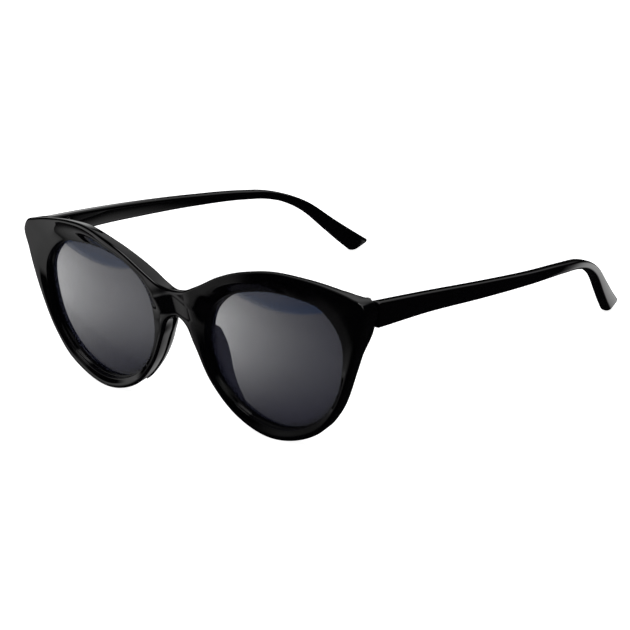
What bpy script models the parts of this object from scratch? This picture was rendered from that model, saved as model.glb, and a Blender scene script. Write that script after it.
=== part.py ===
"""Cat eye sunglasses, open and standing on a table, as separate named pieces.

Lengths are in millimetres and become metres only where vertices are made.
The shapes are worked out in the wearer's frame: +X to the wearer's left, +Y back along the
temples, +Z up, with the front upright, the front face of the bridge at y = 0 and the middle of
the lenses at z = 0. Every finished piece is then tipped and moved to stand on its rims and
temple tips, with the middle of the whole at x = y = 0 and the table at z = 0.
"""

import math

import bmesh
import bpy
from mathutils import Matrix, Vector

MM = 0.001
COLLECTION = "cat_eye_sunglasses"
CUTTERS = "cutters"
SIDES = (("left", 1), ("right", -1))
GAP = 0.3                   # air kept between two pieces that touch
CUT_OVER = 1.0              # how far a cutter reaches past an open face

# How the open sunglasses stand: the tip towards the back, and the shift to the table.
STAND_TILT = math.radians(3.1)
STAND_SHIFT = (0.0, -69.65, 24.8)

# Front: the wrap is WRAP_DEPTH * x^2 / (x^2 + WRAP_WIDTH^2).
WRAP_DEPTH = 4.4
WRAP_WIDTH = 30.0
LENS_X = 37.0               # middle of each lens from the plane of symmetry
RIM_DEPTH = 4.3             # front to back of the rim
EDGE_ROUND = 0.6            # rounding of the outer front and back edges
CHAMFER = 0.3               # where the rounding's middle lies between its two ends
WALL_TAPER = 0.6            # how far the outer wall leans in from front to back
FRONT_STEP = 3.0            # spacing of the sections round the front
ON_PLANE = 0.001            # a point nearer to the plane of symmetry lies on it
MERGE = 0.02                # the two halves join where their points are this close
BRIDGE_STEPS = 5            # strips from the bridge's underside to its top
BRIDGE_INSET = 1.2          # the strips run between points this far in from its two edges
LIP_ROUND = 0.3             # rounding of the edges round the lens
OPENING = [                 # lens opening in the front face, (x, z)
    (62.1, 0.0), (62.2, 10.4), (55.0, 18.1), (45.1, 19.7), (37.0, 19.8), (29.2, 18.8),
    (20.7, 16.3), (13.1, 9.9), (10.9, 0.0), (13.9, -9.6), (20.4, -16.5), (28.5, -20.5),
    (37.0, -21.7), (45.2, -19.9), (52.7, -15.7), (58.6, -9.0),
]
OUTLINE = [                 # half of the front's edge from bridge top to underside: x, z, y, depth
    (0.0, 14.6, -2.5, 4.2), (5.4, 15.5, -2.6, 5.3), (10.8, 17.8, -2.5, 5.7),
    (20.4, 22.6, -2.6, 4.9), (28.3, 25.4, -2.4, 4.3), (38.0, 27.0, -0.8, 3.8),
    (48.0, 26.6, 1.2, 3.7), (57.0, 25.5, 2.6, 4.0), (66.5, 23.8, 3.2, 4.3),
    (70.7, 22.6, 3.2, 4.4), (72.2, 20.2, 3.2, 4.4), (70.7, 13.6, 3.1, 4.3),
    (66.3, 1.0, 2.8, 4.2), (59.4, -12.6, 2.9, 4.6), (54.3, -18.3, 2.8, 4.7),
    (48.1, -22.0, 2.6, 4.6), (34.8, -24.7, 1.6, 4.8), (21.3, -20.5, 1.0, 4.8),
    (12.0, -11.4, 0.1, 4.8), (6.6, -1.3, -0.4, 4.9), (3.6, 4.2, -0.9, 5.2),
    (0.0, 5.8, -1.0, 5.3),
]
CREST_REACH = 5.5           # the face climbs over this distance from the lens to its crest
CREST_SHARE = 0.8           # or over this share of a narrower rim
CLIMB_BOW = 0.35            # how much the climb bows out from a straight ramp
BACK_ROWS = (0.3, 0.6, 0.85, 1.0)   # rows on the rim's back, from the lens to the edge
END_PIECE_X = (60.0, 64.5)  # the back swells to the hinge between these places
END_PIECE_Z = (6.0, 14.3)
END_TOP_Z = (20.8, 24.0)    # and less along its top edge, inside of the joint
END_TOP_X = (64.0, 69.0)
END_TOP_FALL = 0.7
JOINT_Y = 9.4               # back face of the end pieces, where the temples butt

# Lens: a curved plate whose bevelled edge sits in the rim's groove.
LENS_FRONT = 2.4            # front of the lens behind the front face of the rim
LENS_THICK = 1.6
GROOVE_DEEP = 1.1
LENS_SIDES = 48
LENS_ROWS = (0.25, 0.5, 0.75, 1.0)  # rows from the lens's middle to its edge
RIM_TAPER = 0.2             # how far the opening narrows from its front edge to the groove

# Temple: stations (y, x and z of the middle, height).
TEMPLE = [
    (9.7, 69.9, 18.2, 7.6), (30.0, 71.1, 16.9, 5.9), (52.0, 71.9, 14.7, 4.9),
    (76.0, 71.2, 12.1, 3.8), (96.0, 68.6, 9.7, 3.1), (105.5, 66.6, 8.0, 2.9),
    (113.0, 64.5, 5.3, 2.9), (120.0, 62.1, 1.1, 3.4), (128.0, 58.9, -6.5, 4.6),
    (133.0, 56.8, -11.2, 5.7), (138.0, 54.8, -15.6, 6.6),
]
TEMPLE_START, TEMPLE_X = TEMPLE[0][:2]
TEMPLE_THICK = 3.8
BUTT_LONG = 12.3            # the sections turn from square to the joint to square to the arm
TIP_START_Y = 126.0         # the tip's own shape comes in from here on
TIP_SLANT = 0.6             # the tip is cut at a slant: its top reaches further back
TIP_ROUND = 1.3             # rounding round the tip's end face
TIP_STEPS = 3
CORNER = 1.1                # rounding of the temple's long edges
TIP_CORNER = 1.7            # and of the same edges at the tip
LEAST_CORNER = 0.25
BUTT_ROUND = 0.35
TEMPLE_STEP = 5.5

# Core wire inside the temple, in a bore that is open at the hinge end.
WIRE_R = 0.6
WIRE_BORE_R = 0.9
WIRE_X_OFFSET = 0.55        # outside the temple's middle, clear of the hinge leaf
WIRE_END_Y = 124.0
WIRE_SUNK = 0.8             # how far inside the butt face the wire starts
WIRE_BORE_OVER = 5.0        # how far the bore runs on past the wire's end
WIRE_SIDES = 8

# Hinge: three knuckles on a screw. The outer two belong to the front, the middle one to the temple.
AXIS_X = 65.9
AXIS_Y = 11.1
AXIS_Z = 18.0
KNUCKLE_R = 1.45
KNUCKLE_H = 1.9
KNUCKLE_GAP = 0.12
SCREW_R = 0.70
SCREW_BORE_R = 0.78
SCREW_BORE_HALF = 8.0       # half of the screw hole cutter's length
SCREW_HEAD_R = 1.25
SCREW_HEAD_H = 0.7
SCREW_SEAT = 0.1            # air between the head and the upper knuckle
SCREW_OUT = 0.3             # the screw's end stands this far out of the lower knuckle
SCREW_POINT = 0.3           # height of the bevel at its end
POINT_SHARE = 0.7           # radius left at the end of that bevel
HEAD_WALL = 0.6             # share of the head's height below its bevel
HEAD_TOP = 0.75             # share of the head's radius left at its top
SLOT_WIDE = 0.3
SLOT_LONG = 4.0
SLOT_DEEP = 0.3
ROUND_SIDES = 24
ANCHOR_WIDE = 2.0           # tongue of the front leaf, sunk into the end piece
ANCHOR_DEEP = 3.2
ANCHOR_OFFSET = 0.2         # its middle lies this far outside the axis
NECK_LAP = 0.5              # how far a front neck reaches into the tongue
NECK_TO_AXIS = 0.4          # and how far short of the axis it stops
LEAF_THICK = 1.0            # leaf of the temple hinge, let into the temple's inner face
LEAF_SUNK = 0.9
LEAF_START = 0.6            # the leaf starts this far behind the butt face
LEAF_LONG = 9.0
LEAF_TALL = 3.6
LEAF_NECK_Y = (-0.45, 1.15) # the temple leaf's neck, front to back from the axis
LEAF_NECK_LAP = 0.2         # how far that neck reaches into the leaf

# Nose pads: (x, z) along the edge of the rim, depth, width and outward lean there.
PAD = [
    (4.6, 3.0, 0.9, 2.2, 0.6), (5.6, 1.2, 3.3, 3.2, 1.6), (7.3, -2.0, 4.2, 3.4, 1.8),
    (9.2, -6.0, 4.2, 3.4, 1.5), (12.3, -11.2, 3.1, 3.0, 0.8), (15.9, -15.5, 2.0, 2.5, 0.3),
    (19.4, -18.8, 1.1, 1.9, 0.1), (21.4, -20.2, 0.4, 1.4, 0.0),
]
PAD_GAP = 0.2               # the glue line between pad and rim
PAD_STEP = 2.2
PAD_SIDES = 8               # strips over the pad's ridge
PAD_LEAN_POWER = 1.5        # keeps the lean near the ridge's crest

COLOURS = {                 # base colour, roughness, metallic
    "black_plastic": ((0.012, 0.012, 0.014, 1.0), 0.12, 0.0),
    "smoke_lens": ((0.10, 0.10, 0.11, 1.0), 0.05, 0.0),
    "hinge_steel": ((0.55, 0.55, 0.56, 1.0), 0.3, 1.0),
    "screw_steel": ((0.60, 0.60, 0.60, 1.0), 0.25, 1.0),
    "wire_steel": ((0.50, 0.50, 0.50, 1.0), 0.35, 1.0),
}


# Curves and sections

def smooth(t):
    """0 below 0, 1 above 1 and a smooth rise between them."""
    t = min(max(t, 0.0), 1.0)
    return t * t * (3 - 2 * t)


def rise(value, low, high):
    return smooth((value - low) / (high - low))


def hermite(a, b, tangent_a, tangent_b, t):
    """The point at t between a and b on a cubic with these tangents."""
    return [
        (2 * t**3 - 3 * t**2 + 1) * p + (t**3 - 2 * t**2 + t) * m
        + (3 * t**2 - 2 * t**3) * q + (t**3 - t**2) * n
        for p, q, m, n in zip(a, b, tangent_a, tangent_b)
    ]


def through(before, points, after, steps=12):
    """A smooth line through points; before and after are its neighbours beyond the ends."""
    chain = [before, *points, after]
    line = []
    for i in range(1, len(chain) - 2):
        gaps = [math.dist(chain[j][:2], chain[j + 1][:2]) for j in (i - 1, i, i + 1)]

        def tangent(k, left, right):
            rise_left = [(b - a) / left for a, b in zip(chain[k - 1], chain[k])]
            rise_right = [(b - a) / right for a, b in zip(chain[k], chain[k + 1])]
            return [
                gaps[1] * (right * p + left * q) / (left + right)
                for p, q in zip(rise_left, rise_right)
            ]

        start = tangent(i, gaps[0], gaps[1])
        end = tangent(i + 1, gaps[1], gaps[2])
        line += [hermite(chain[i], chain[i + 1], start, end, s / steps) for s in range(steps)]
    return line + [list(points[-1])]


def resample(line, step):
    """Points about one step apart along a line, its ends kept."""
    lengths = [0.0]
    for a, b in zip(line, line[1:]):
        lengths.append(lengths[-1] + math.dist(a[:2], b[:2]))
    count = max(2, round(lengths[-1] / step))
    found = []
    i = 0
    for k in range(count + 1):
        want = lengths[-1] * k / count
        while i < len(line) - 2 and lengths[i + 1] < want:
            i += 1
        t = (want - lengths[i]) / (lengths[i + 1] - lengths[i])
        found.append([p + (q - p) * t for p, q in zip(line[i], line[i + 1])])
    return found


def wrap(x):
    """How far back the front face lies at x."""
    return WRAP_DEPTH * x * x / (x * x + WRAP_WIDTH * WRAP_WIDTH)


def angle_round_lens(x, z):
    return math.atan2(z, x - LENS_X) % (2 * math.pi)


def opening_radius():
    """A function from the angle round the lens to the opening's radius."""
    closed = through(OPENING[-1], OPENING + OPENING[:1], OPENING[1])[:-1]
    table = sorted((angle_round_lens(x, z), math.hypot(x - LENS_X, z)) for x, z in closed)
    table = [(table[-1][0] - 2 * math.pi, table[-1][1])] + table
    table.append((table[1][0] + 2 * math.pi, table[1][1]))

    def radius(angle):
        for (a, p), (b, q) in zip(table, table[1:]):
            if a <= angle <= b:
                return p + (q - p) * (angle - a) / (b - a)
        return table[0][1]

    return radius


def half_outline(step):
    """The front's edge from the bridge top to the bridge underside, on the +X half."""
    mirrored = [(-x, *rest) for x, *rest in (OUTLINE[1], OUTLINE[-2])]
    return resample(through(mirrored[0], OUTLINE, mirrored[1]), step)


def temple_stations():
    """(y, x, z, height) close together along the temple."""
    first = [2 * a - b for a, b in zip(TEMPLE[0], TEMPLE[1])]
    last = [2 * a - b for a, b in zip(TEMPLE[-1], TEMPLE[-2])]
    return resample(through(first, TEMPLE, last), TEMPLE_STEP)


def temple_frames():
    """(centre, along, across, up, height) at each station."""
    stations = temple_stations()
    frames = []
    for i, (y, x, z, height) in enumerate(stations):
        a = stations[max(i - 1, 0)]
        b = stations[min(i + 1, len(stations) - 1)]
        square = rise(y, TEMPLE_START, TEMPLE_START + BUTT_LONG)
        along = Vector(((b[1] - a[1]) * square, b[0] - a[0], (b[2] - a[2]) * square)).normalized()
        up = Vector((0, -along.z, along.y)).normalized()
        across = along.cross(up).normalized()
        frames.append((Vector((x, y, z)), along, across, up, height))
    return frames


def rounded_section(width, height, corner, per_corner=2):
    """Corners of a rounded rectangle, as (across, up)."""
    points = []
    for k, (sx, sz) in enumerate(((1, 1), (-1, 1), (-1, -1), (1, -1))):
        for j in range(per_corner + 1):
            turn = math.pi / 2 * (k + j / per_corner)
            points.append((
                sx * (width / 2 - corner) + corner * math.cos(turn),
                sz * (height / 2 - corner) + corner * math.sin(turn),
            ))
    return points


# Meshes and objects

def place():
    """From the wearer's frame in millimetres to the table in metres."""
    turn = Matrix.Rotation(-STAND_TILT, 4, "X")
    return Matrix.Scale(MM, 4) @ Matrix.Translation(STAND_SHIFT) @ turn


def material(name):
    made = bpy.data.materials.get(name)
    if made:
        return made
    made = bpy.data.materials.new(name)
    made.use_nodes = True
    shader = made.node_tree.nodes["Principled BSDF"]
    colour, roughness, metallic = COLOURS[name]
    shader.inputs["Base Color"].default_value = colour
    shader.inputs["Roughness"].default_value = roughness
    shader.inputs["Metallic"].default_value = metallic
    return made


def collection(name):
    found = bpy.data.collections.get(name)
    if not found:
        found = bpy.data.collections.new(name)
        bpy.context.scene.collection.children.link(found)
    return found


def add_object(name, shape, slot, origin=(0, 0, 0)):
    """An object from a bmesh in the wearer's frame, standing in place, its origin at origin."""
    bmesh.ops.recalc_face_normals(shape, faces=shape.faces)
    world = place()
    stand = world.to_3x3().normalized().to_4x4()
    stand.translation = world @ Vector(origin)
    shape.transform(stand.inverted() @ world)
    mesh = bpy.data.meshes.new(name)
    shape.to_mesh(mesh)
    shape.free()
    made = bpy.data.objects.new(name, mesh)
    made.matrix_world = stand
    if slot:
        mesh.materials.append(material(slot))
        mesh.shade_smooth()
        mesh.set_sharp_from_angle(angle=math.radians(35))
        collection(COLLECTION).objects.link(made)
    else:
        made.hide_render = True
        made.display_type = "WIRE"
        collection(CUTTERS).objects.link(made)
    return made


def cut(target, cutter):
    modifier = target.modifiers.new("cut_" + cutter.name, "BOOLEAN")
    modifier.operation = "DIFFERENCE"
    modifier.solver = "EXACT"
    modifier.object = cutter


def loft(rings, capped=True):
    """A closed skin over rings of points that all have the same count."""
    shape = bmesh.new()
    rows = [[shape.verts.new(p) for p in ring] for ring in rings]
    count = len(rings[0])
    for a, b in zip(rows, rows[1:]):
        for i in range(count):
            j = (i + 1) % count
            shape.faces.new((a[i], a[j], b[j], b[i]))
    if capped:
        shape.faces.new(rows[0])
        shape.faces.new(rows[-1])
    return shape


def add_box(shape, centre, size):
    at = Matrix.Translation(centre) @ Matrix.Diagonal((*size, 1.0))
    bmesh.ops.create_cube(shape, size=1.0, matrix=at)


def turned(profile, centre, sides=ROUND_SIDES):
    """A body turned about the vertical through centre, from an (r, z) profile loop."""
    rings = []
    for r, z in profile:
        ring = []
        for k in range(sides):
            turn = 2 * math.pi * k / sides
            ring.append((centre[0] + r * math.cos(turn), centre[1] + r * math.sin(turn), z))
        rings.append(ring)
    return rings


# Front

def swelled(flat, back):
    """Where the back lies at flat, (x, z): back on the rim, swelling to the end piece."""
    swell = rise(flat.x, *END_PIECE_X) * rise(flat.y, *END_PIECE_Z)
    swell *= 1 - END_TOP_FALL * rise(flat.y, *END_TOP_Z) * (1 - rise(flat.x, *END_TOP_X))
    return back + (JOINT_Y - back) * swell


def front_rays(step):
    """Rays round the lens: (edge, way in, front y, depth); on the bridge (None, point, ...)."""
    outline = half_outline(step)
    edge = [Vector(p[:2]) for p in outline]
    rays = []
    for i, point in enumerate(edge):
        ahead = edge[min(i + 1, len(edge) - 1)]
        along = (ahead - edge[max(i - 1, 0)]).normalized()
        inward = Vector((along.y, -along.x))
        if point.x < ON_PLANE:
            inward = Vector((0.0, math.copysign(1.0, inward.y)))
        rays.append((point, inward, *outline[i][2:]))
    bottom, top = [(ray[0] + ray[1] * BRIDGE_INSET, *ray[2:]) for ray in (rays[-1], rays[0])]
    for k in range(BRIDGE_STEPS + 1):
        t = k / BRIDGE_STEPS
        between = [p + (q - p) * t for p, q in zip(bottom[1:], top[1:])]
        rays.append((None, bottom[0].lerp(top[0], t), *between))
    return rays


def climb(distance, width):
    """Share of the face's climb to its crest at a distance from the lens, on a rim this wide."""
    t = min(1.0, distance / min(CREST_REACH, CREST_SHARE * width))
    return t * (1 + CLIMB_BOW * (1 - t))


def front_section(ray, radius):
    """Points (x, y, z) round the rim's section: inside of the opening, back, side and front."""
    edge, inward, crest, depth = ray
    walled = edge is not None
    inset = edge + inward * EDGE_ROUND if walled else inward
    rear_edge = edge + inward * WALL_TAPER if walled else inward
    rear_inset = rear_edge + inward * EDGE_ROUND if walled else inward
    angle = angle_round_lens(*(edge or inset))
    across = Vector((math.cos(angle), math.sin(angle)))
    middle = Vector((LENS_X, 0.0))

    def near_lens(s, behind):
        flat = middle + across * (radius(angle) + s)
        return (flat.x, wrap(flat.x) + behind, flat.y)

    lip = middle + across * (radius(angle) + LIP_ROUND)
    width = (inset - lip).length

    def face(f):
        flat = lip.lerp(inset, f)
        lift = (crest - wrap(inset.x)) * climb(f * width, width)
        return (flat.x, wrap(flat.x) + lift, flat.y)

    def rear(f):
        flat = lip.lerp(rear_inset, f)
        fall = (crest + depth - wrap(rear_inset.x) - RIM_DEPTH) * f
        return (flat.x, swelled(flat, wrap(flat.x) + RIM_DEPTH + fall), flat.y)

    inside = [
        near_lens(LIP_ROUND, 0.0), near_lens(0.0, LIP_ROUND),
        near_lens(-RIM_TAPER, LENS_FRONT - GAP / 2),
        near_lens(GROOVE_DEEP, LENS_FRONT + LENS_THICK / 2),
        near_lens(-RIM_TAPER, LENS_FRONT + LENS_THICK + GAP / 2),
        rear(0.0),
    ]
    back = [rear(f) for f in BACK_ROWS]
    reach = min(CREST_REACH, CREST_SHARE * width) / width
    front = [face(f) for f in (1.0, reach, reach / 2)]
    if not walled:
        return inside, back, [], front
    side = []
    last = swelled(rear_edge, crest + depth)
    for at, towards, y, sign in ((rear_edge, rear_inset, last, -1), (edge, inset, crest, 1)):
        middle = at.lerp(towards, CHAMFER)
        corner = [
            (middle.x, y + sign * EDGE_ROUND * CHAMFER, middle.y),
            (at.x, y + sign * EDGE_ROUND, at.y),
        ]
        side += corner if sign < 0 else corner[::-1]
    return inside, back, side, front


def front_half(step):
    """The +X half of the front, open at the plane of symmetry."""
    radius = opening_radius()
    shape = bmesh.new()
    sections = []
    for ray in front_rays(step):
        groups = front_section(ray, radius)
        sections.append([[shape.verts.new(p) for p in group] for group in groups])
    for a, b in zip(sections, sections[1:] + sections[:1]):
        front_strip(shape, a, b)
    return shape


def front_strip(shape, a, b):
    """Faces between two neighbouring sections."""
    walled = bool(a[2]) and bool(b[2])
    rows_a = a[3] + a[0] + a[1] + (a[2] + a[3][:1] if walled else [])
    rows_b = b[3] + b[0] + b[1] + (b[2] + b[3][:1] if walled else [])
    for i in range(len(rows_a) - 1):
        shape.faces.new((rows_a[i], rows_a[i + 1], rows_b[i + 1], rows_b[i]))


def front_frame():
    frame = add_object("front_frame", front_half(FRONT_STEP), "black_plastic")
    mirror = frame.modifiers.new("other_half", "MIRROR")
    mirror.merge_threshold = MERGE * MM
    for name, side in SIDES:
        pocket = bmesh.new()
        add_box(pocket, *anchor_box(side, GAP))
        cut(frame, add_object("anchor_pocket_" + name, pocket, None))


def anchor_box(side, extra=0.0):
    """Centre and size of the front leaf's tongue, or of its pocket with extra all round."""
    height = 3 * KNUCKLE_H + 2 * KNUCKLE_GAP
    front = JOINT_Y - ANCHOR_DEEP - extra
    back = JOINT_Y + (CUT_OVER if extra else 0.0)
    centre = (side * (AXIS_X + ANCHOR_OFFSET), (front + back) / 2, AXIS_Z)
    return centre, (ANCHOR_WIDE + 2 * extra, back - front, height + 2 * extra)


# Lenses and nose pads

def lens_ring(depth, grow, share, radius):
    """A loop of the lens at a share of its outline, at a depth behind the front face."""
    ring = []
    for k in range(LENS_SIDES):
        angle = 2 * math.pi * k / LENS_SIDES
        reach = (radius(angle) + grow) * share
        x = LENS_X + reach * math.cos(angle)
        ring.append((x, wrap(x) + depth, reach * math.sin(angle)))
    return ring


def lens(name, side):
    radius = opening_radius()
    inside = -RIM_TAPER - GAP
    back = LENS_FRONT + LENS_THICK
    rings = [lens_ring(LENS_FRONT, inside, s, radius) for s in LENS_ROWS]
    rings.append(lens_ring((LENS_FRONT + back) / 2, GROOVE_DEEP - 2 * GAP, 1.0, radius))
    rings += [lens_ring(back, inside, s, radius) for s in reversed(LENS_ROWS)]
    shape = loft(rings)
    shape.transform(Matrix.Diagonal((side, 1, 1, 1)))
    return add_object("lens_" + name, shape, "smoke_lens")


def pad_section(station, ahead, behind):
    """A rounded ridge standing on the back of the rim, leaning away from the nose."""
    x, z, deep, wide, lean = station
    along = Vector((ahead[0] - behind[0], ahead[1] - behind[1])).normalized()
    out = Vector((-along.y, along.x))
    points = []
    for k in range(PAD_SIDES + 1):
        turn = math.pi * k / PAD_SIDES
        s = wide / 2 * (1 - math.cos(turn)) + lean * math.sin(turn) ** PAD_LEAN_POWER
        px, pz = x + out.x * s, z + out.y * s
        points.append((px, wrap(px) + RIM_DEPTH + PAD_GAP + deep * math.sin(turn), pz))
    return points


def nose_pad(name, side):
    line = through(
        [2 * a - b for a, b in zip(PAD[0], PAD[1])], PAD,
        [2 * a - b for a, b in zip(PAD[-1], PAD[-2])],
    )
    stations = resample(line, PAD_STEP)
    rings = []
    for i, station in enumerate(stations):
        ahead = stations[min(i + 1, len(stations) - 1)]
        rings.append(pad_section(station, ahead, stations[max(i - 1, 0)]))
    shape = loft(rings)
    shape.transform(Matrix.Diagonal((side, 1, 1, 1)))
    return add_object("nose_pad_" + name, shape, "black_plastic")


# Temples

def tip_share(y):
    """How much of the tip's own shape the temple has at y."""
    return rise(y, TIP_START_Y, TEMPLE[-1][0])


def temple_ring(frame, inset, along_by, slant):
    centre, along, across, up, height = frame
    ring = []
    corner = CORNER + (TIP_CORNER - CORNER) * tip_share(centre.y)
    corner = max(corner - inset, LEAST_CORNER)
    for s, v in rounded_section(TEMPLE_THICK - 2 * inset, height - 2 * inset, corner):
        ring.append(centre + across * s + up * v + along * (along_by + slant * v))
    return ring


def temple_rings():
    frames = temple_frames()
    rings = [temple_ring(frames[0], BUTT_ROUND, 0.0, 0.0)]
    rings.append(temple_ring(frames[0], 0.0, BUTT_ROUND, 0.0))
    for frame in frames[1:]:
        rings.append(temple_ring(frame, 0.0, 0.0, TIP_SLANT * tip_share(frame[0].y)))
    for k in range(1, TIP_STEPS + 1):
        turn = math.pi / 2 * k / TIP_STEPS
        inset = TIP_ROUND * (1 - math.cos(turn))
        rings.append(temple_ring(frames[-1], inset, TIP_ROUND * math.sin(turn), TIP_SLANT))
    return rings


def wire_path(first_y, last_y):
    """Points along the middle of the core wire."""
    path = []
    for centre, _, across, _, _ in temple_frames():
        if first_y < centre.y < last_y:
            path.append(centre + across * WIRE_X_OFFSET)
    start = temple_frames()[0][0]
    path.insert(0, Vector((start.x + WIRE_X_OFFSET, first_y, start.z)))
    return path


def wire_body(path, radius):
    """A round bar along a path of points."""
    rings = []
    for i, point in enumerate(path):
        along = (path[min(i + 1, len(path) - 1)] - path[max(i - 1, 0)]).normalized()
        across = along.cross(Vector((0, 0, 1))).normalized()
        up = across.cross(along)
        ring = []
        for k in range(WIRE_SIDES):
            turn = 2 * math.pi * k / WIRE_SIDES
            ring.append(point + across * radius * math.cos(turn) + up * radius * math.sin(turn))
        rings.append(ring)
    return loft(rings)


def leaf_box(side, extra=0.0):
    """Centre and size of the temple hinge's leaf, or of its pocket with extra all round."""
    face = TEMPLE_X - TEMPLE_THICK / 2
    inner = face - (CUT_OVER if extra else LEAF_THICK - LEAF_SUNK)
    outer = face + LEAF_SUNK + extra
    front = (JOINT_Y - CUT_OVER) if extra else (TEMPLE_START + LEAF_START)
    back = TEMPLE_START + LEAF_LONG + extra
    centre = (side * (inner + outer) / 2, (front + back) / 2, AXIS_Z)
    return centre, (outer - inner, back - front, LEAF_TALL + 2 * extra)


def temple(name, side):
    mirror = Matrix.Diagonal((side, 1, 1, 1))
    shape = loft(temple_rings())
    shape.transform(mirror)
    arm = add_object("temple_" + name, shape, "black_plastic", axis_point(side))
    bore_path = wire_path(TEMPLE_START - CUT_OVER, WIRE_END_Y + WIRE_BORE_OVER)
    bore = wire_body(bore_path, WIRE_BORE_R)
    bore.transform(mirror)
    cut(arm, add_object("wire_bore_" + name, bore, None))
    pocket = bmesh.new()
    add_box(pocket, *leaf_box(side, GAP))
    cut(arm, add_object("leaf_pocket_" + name, pocket, None))
    wire = wire_body(wire_path(TEMPLE_START + WIRE_SUNK, WIRE_END_Y), WIRE_R)
    wire.transform(mirror)
    add_object("core_wire_" + name, wire, "wire_steel", axis_point(side))


# Hinges

def axis_point(side):
    return (side * AXIS_X, AXIS_Y, AXIS_Z)


def knuckle_bottoms():
    """Lower, middle and upper knuckle."""
    pitch = KNUCKLE_H + KNUCKLE_GAP
    return [AXIS_Z - KNUCKLE_H / 2 + pitch * k for k in (-1, 0, 1)]


def front_hinge(name, side):
    """A tongue sunk in the end piece, with the two outer knuckles."""
    tongue = bmesh.new()
    add_box(tongue, *anchor_box(side))
    made = add_object("front_hinge_" + name, tongue, "hinge_steel")
    lower, _, upper = knuckle_bottoms()
    for part, bottom in (("lower", lower), ("upper", upper)):
        neck_y = (JOINT_Y - NECK_LAP, AXIS_Y - NECK_TO_AXIS)
        centre = (side * (AXIS_X + ANCHOR_OFFSET), sum(neck_y) / 2, bottom + KNUCKLE_H / 2)
        neck = bmesh.new()
        add_box(neck, centre, (ANCHOR_WIDE, neck_y[1] - neck_y[0], KNUCKLE_H))
        join(made, add_object(f"neck_{part}_{name}", neck, None))
        join_knuckle(made, f"front_{part}_{name}", bottom, side)
    bore_screw_hole(made, name, side)


def temple_hinge(name, side):
    """A leaf let into the temple's inner face, with the middle knuckle."""
    leaf = bmesh.new()
    add_box(leaf, *leaf_box(side))
    made = add_object("temple_hinge_" + name, leaf, "hinge_steel", axis_point(side))
    middle = knuckle_bottoms()[1]
    neck = bmesh.new()
    width = TEMPLE_X - TEMPLE_THICK / 2 - AXIS_X + LEAF_NECK_LAP
    front, back = LEAF_NECK_Y
    centre = (side * (AXIS_X + width / 2), AXIS_Y + (front + back) / 2, AXIS_Z)
    add_box(neck, centre, (width, back - front, KNUCKLE_H))
    join(made, add_object("neck_" + name, neck, None))
    join_knuckle(made, f"temple_middle_{name}", middle, side)
    bore_screw_hole(made, name + "_temple", side)


def join(target, piece):
    modifier = target.modifiers.new("join_" + piece.name, "BOOLEAN")
    modifier.operation = "UNION"
    modifier.solver = "EXACT"
    modifier.object = piece


def join_knuckle(target, name, bottom, side):
    rod = loft(turned([(KNUCKLE_R, bottom), (KNUCKLE_R, bottom + KNUCKLE_H)],
                      (side * AXIS_X, AXIS_Y)))
    join(target, add_object("knuckle_" + name, rod, None))


def bore_screw_hole(target, name, side):
    ends = (AXIS_Z - SCREW_BORE_HALF, AXIS_Z + SCREW_BORE_HALF)
    profile = [(SCREW_BORE_R, z) for z in ends]
    hole = loft(turned(profile, (side * AXIS_X, AXIS_Y)))
    cut(target, add_object("screw_hole_" + name, hole, None))


def hinge_screw(name, side):
    """The screw that is the hinge's axle, its head on the upper knuckle."""
    bottom = knuckle_bottoms()[0] - SCREW_OUT
    seat = knuckle_bottoms()[2] + KNUCKLE_H + SCREW_SEAT
    profile = [
        (SCREW_R * POINT_SHARE, bottom), (SCREW_R, bottom + SCREW_POINT), (SCREW_R, seat),
        (SCREW_HEAD_R, seat), (SCREW_HEAD_R, seat + SCREW_HEAD_H * HEAD_WALL),
        (SCREW_HEAD_R * HEAD_TOP, seat + SCREW_HEAD_H),
    ]
    shape = loft(turned(profile, (side * AXIS_X, AXIS_Y)))
    screw = add_object("hinge_screw_" + name, shape, "screw_steel", axis_point(side))
    slot = bmesh.new()
    centre = (side * AXIS_X, AXIS_Y, seat + SCREW_HEAD_H)
    add_box(slot, centre, (SLOT_WIDE, SLOT_LONG, 2 * SLOT_DEEP))
    cut(screw, add_object("screw_slot_" + name, slot, None))


def main():
    for old in list(bpy.data.objects):
        bpy.data.objects.remove(old)
    front_frame()
    for name, side in SIDES:
        lens(name, side)
        nose_pad(name, side)
        temple(name, side)
        front_hinge(name, side)
        temple_hinge(name, side)
        hinge_screw(name, side)


main()
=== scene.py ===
"""Looks of the cat eye sunglasses, built round their CAD model.

Shapes are worked out in the wearer's frame, in millimetres: +X to the wearer's left, +Y back
along the temples, +Z up, with the middle of the lenses at z = 0. place() stands them on the table
in metres, where the CAD pieces are.
"""

import math

import bmesh
import bpy
from mathutils import Matrix, Vector


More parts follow.
